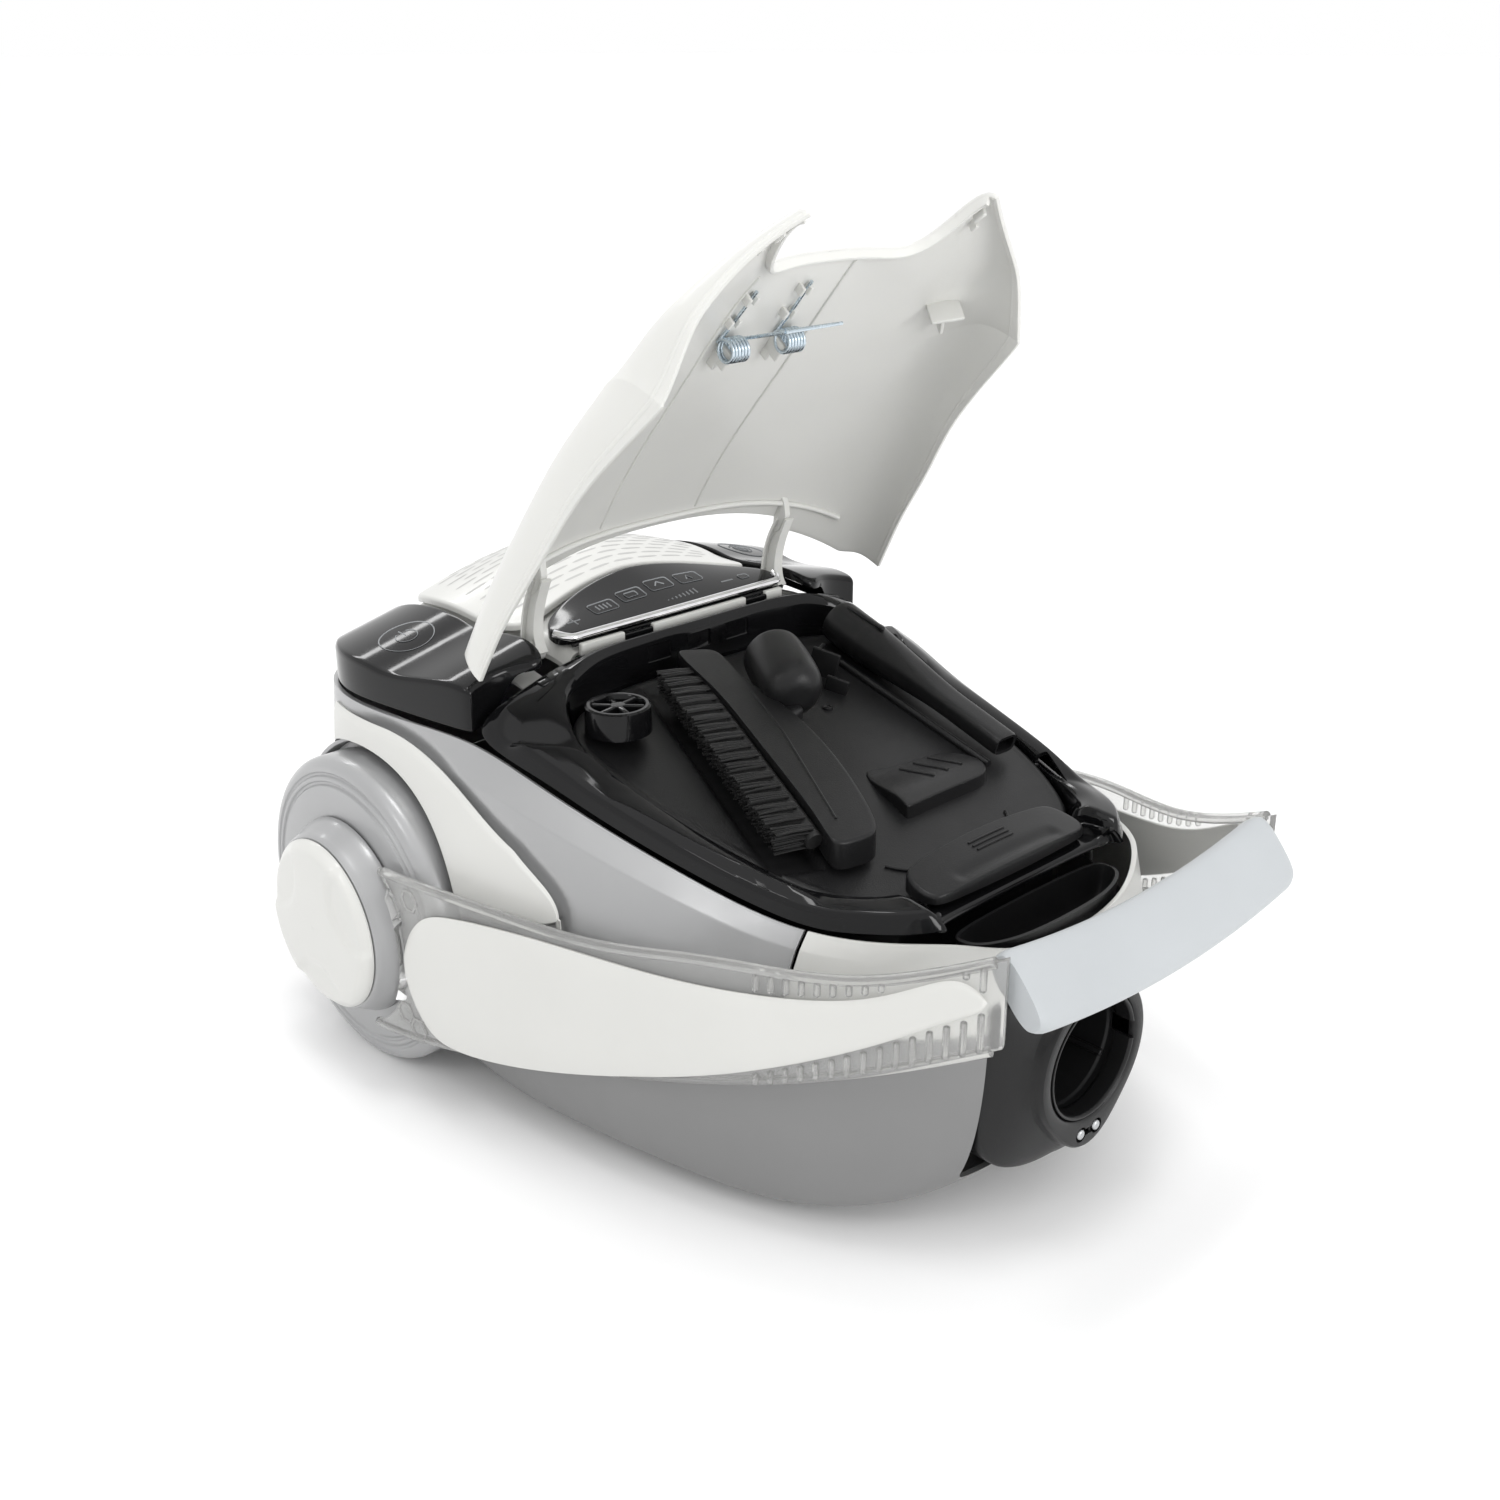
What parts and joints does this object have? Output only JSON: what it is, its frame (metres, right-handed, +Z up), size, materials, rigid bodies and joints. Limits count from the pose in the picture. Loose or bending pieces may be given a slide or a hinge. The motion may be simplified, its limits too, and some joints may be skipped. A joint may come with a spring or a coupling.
{
  "type": "canister vacuum cleaner",
  "caption": "Low canister vacuum cleaner with large rear wheels, front carry handle, hose port and a hinged lid propped open over a tool tray.",
  "frame": {"origin": "middle of the footprint, on the floor under the wheels", "axes": "+Z up, -Y towards the hose port at the front, +X along the rear axle to the machine's left"},
  "size_m": [0.364, 0.4618, 0.4246],
  "materials": {
    "silver_plastic": "satin silver-grey paint on moulded plastic",
    "white_plastic": "warm white moulded plastic, soft gloss",
    "black_gloss": "piano black gloss plastic",
    "black_satin": "black satin plastic",
    "clear_plastic": "clear textured plastic",
    "grip_grey": "pale blue-grey soft-touch plastic",
    "chrome": "bright plated trim",
    "spring_steel": "bright steel",
    "bristle": "black bristle tufts",
    "rubber": "black rubber",
    "filter_paper": "off-white filter cloth",
    "motor_metal": "cast and turned metal",
    "board_green": "green circuit board"
  },
  "bodies": {
    "chassis": {"lower_shell": "silver_plastic", "upper_shell": "silver_plastic", "front_cowl": "white_plastic", "deck_frame": "black_gloss", "rear_cover": "white_plastic", "display_panel": "black_gloss", "chrome_trim": "chrome", "ledge_strip": "white_plastic", "hose_bezel": "black_satin", "port_sleeve": "black_satin", "latch_pocket": "black_satin", "caster_socket": "silver_plastic", "dust_chamber": "black_satin", "chamber_seal": "rubber", "dust_bag": "filter_paper", "bag_collar": "white_plastic", "motor_filter": "filter_paper", "motor_housing": "black_satin", "motor": "motor_metal", "exhaust_filter": "filter_paper", "circuit_board": "board_green", "cord_outlet": "black_satin", "side_inset_left": "white_plastic", "wheel_well_left": "silver_plastic", "contact_pin_left": "spring_steel", "hinge_pin_left": "spring_steel", "axle_left": "spring_steel", "side_inset_right": "white_plastic", "wheel_well_right": "silver_plastic", "contact_pin_right": "spring_steel", "hinge_pin_right": "spring_steel", "axle_right": "spring_steel"},
    "lid": {"lid_shell": "white_plastic", "lid_spring": "spring_steel", "hinge_arm_left": "white_plastic", "hinge_arm_right": "white_plastic"},
    "inner_cover": {"tray_cover": "black_satin"},
    "front_flap": {"latch_flap": "black_satin"},
    "valve_cap": {"relief_valve_cap": "black_satin"},
    "dusting_brush": {"brush_body": "black_satin", "brush_bristles": "bristle"},
    "crevice_nozzle": {"crevice_tool": "black_satin"},
    "handle": {"handle_arm_left": "clear_plastic", "handle_arm_right": "clear_plastic", "arm_plate_left": "white_plastic", "arm_plate_right": "white_plastic", "handle_hub_left": "silver_plastic", "handle_hub_right": "silver_plastic", "hub_cap_left": "white_plastic", "hub_cap_right": "white_plastic", "grip": "grip_grey"},
    "left_wheel": {"wheel_left": "silver_plastic"},
    "right_wheel": {"wheel_right": "silver_plastic"},
    "caster_swivel_body": {"caster_fork": "black_satin"},
    "caster_roller": {"caster_wheel": "rubber"},
    "power_button": {"power_pedal": "black_gloss"},
    "rewind_button": {"rewind_pedal": "black_gloss"},
    "filter_door": {"exhaust_grille": "white_plastic"},
    "fan": {"fan_wheel": "motor_metal"},
    "reel": {"cord_reel": "black_satin"}
  },
  "joints": [
    {"name": "lid_hinge", "type": "hinge", "parent": "chassis", "child": "lid", "pos_m": [0, 0.086, 0.214], "axis": [-1, 0, 0], "range_deg": [-67, 0]},
    {"name": "inner_cover_hinge", "type": "hinge", "parent": "chassis", "child": "inner_cover", "pos_m": [0, 0.0565, 0.1985], "axis": [-1, 0, 0], "range_deg": [0, 42]},
    {"name": "front_flap_hinge", "type": "hinge", "parent": "inner_cover", "child": "front_flap", "pos_m": [0, -0.1225, 0.157], "axis": [-1, 0, 0], "range_deg": [0, 10], "stiffness_Nm_per_rad": 0.05},
    {"name": "valve_turn", "type": "hinge", "parent": "inner_cover", "child": "valve_cap", "pos_m": [-0.082, 0.022, 0.195], "axis": [0, 0, 1], "range_deg": [0, 90]},
    {"name": "brush_lift", "type": "slide", "parent": "inner_cover", "child": "dusting_brush", "axis": [0, -0.2489, 0.9685], "range_m": [0, 0.02]},
    {"name": "crevice_tool_lift", "type": "slide", "parent": "inner_cover", "child": "crevice_nozzle", "axis": [0, -0.2489, 0.9685], "range_m": [0, 0.02]},
    {"name": "handle_pivot", "type": "hinge", "parent": "chassis", "child": "handle", "pos_m": [0, 0.142, 0.08], "axis": [1, 0, 0], "range_deg": [-36, 0]},
    {"name": "left_wheel_spin", "type": "hinge", "parent": "chassis", "child": "left_wheel", "pos_m": [-0.145, 0.142, 0.08], "axis": [1, 0, 0], "continuous": true},
    {"name": "right_wheel_spin", "type": "hinge", "parent": "chassis", "child": "right_wheel", "pos_m": [0.145, 0.142, 0.08], "axis": [1, 0, 0], "continuous": true},
    {"name": "caster_swivel", "type": "hinge", "parent": "chassis", "child": "caster_swivel_body", "pos_m": [0, -0.092, 0.03], "axis": [0, 0, 1], "continuous": true},
    {"name": "caster_roll", "type": "hinge", "parent": "caster_swivel_body", "child": "caster_roller", "pos_m": [0, -0.092, 0.011], "axis": [1, 0, 0], "continuous": true},
    {"name": "power_pedal_press", "type": "slide", "parent": "chassis", "child": "power_button", "axis": [0, 0, -1], "range_m": [0, 0.0025], "stiffness_N_per_m": 400},
    {"name": "rewind_pedal_press", "type": "slide", "parent": "chassis", "child": "rewind_button", "axis": [0, 0, -1], "range_m": [0, 0.0025], "stiffness_N_per_m": 400},
    {"name": "filter_door_hinge", "type": "hinge", "parent": "chassis", "child": "filter_door", "pos_m": [0, 0.218, 0.2075], "axis": [-1, 0, 0], "range_deg": [0, 60]},
    {"name": "fan_spin", "type": "hinge", "parent": "chassis", "child": "fan", "pos_m": [-0.034, 0.098, 0.092], "axis": [0, 1, 0], "continuous": true},
    {"name": "reel_spin", "type": "hinge", "parent": "chassis", "child": "reel", "pos_m": [0.062, 0.14, 0.092], "axis": [1, 0, 0], "continuous": true}
  ]
}
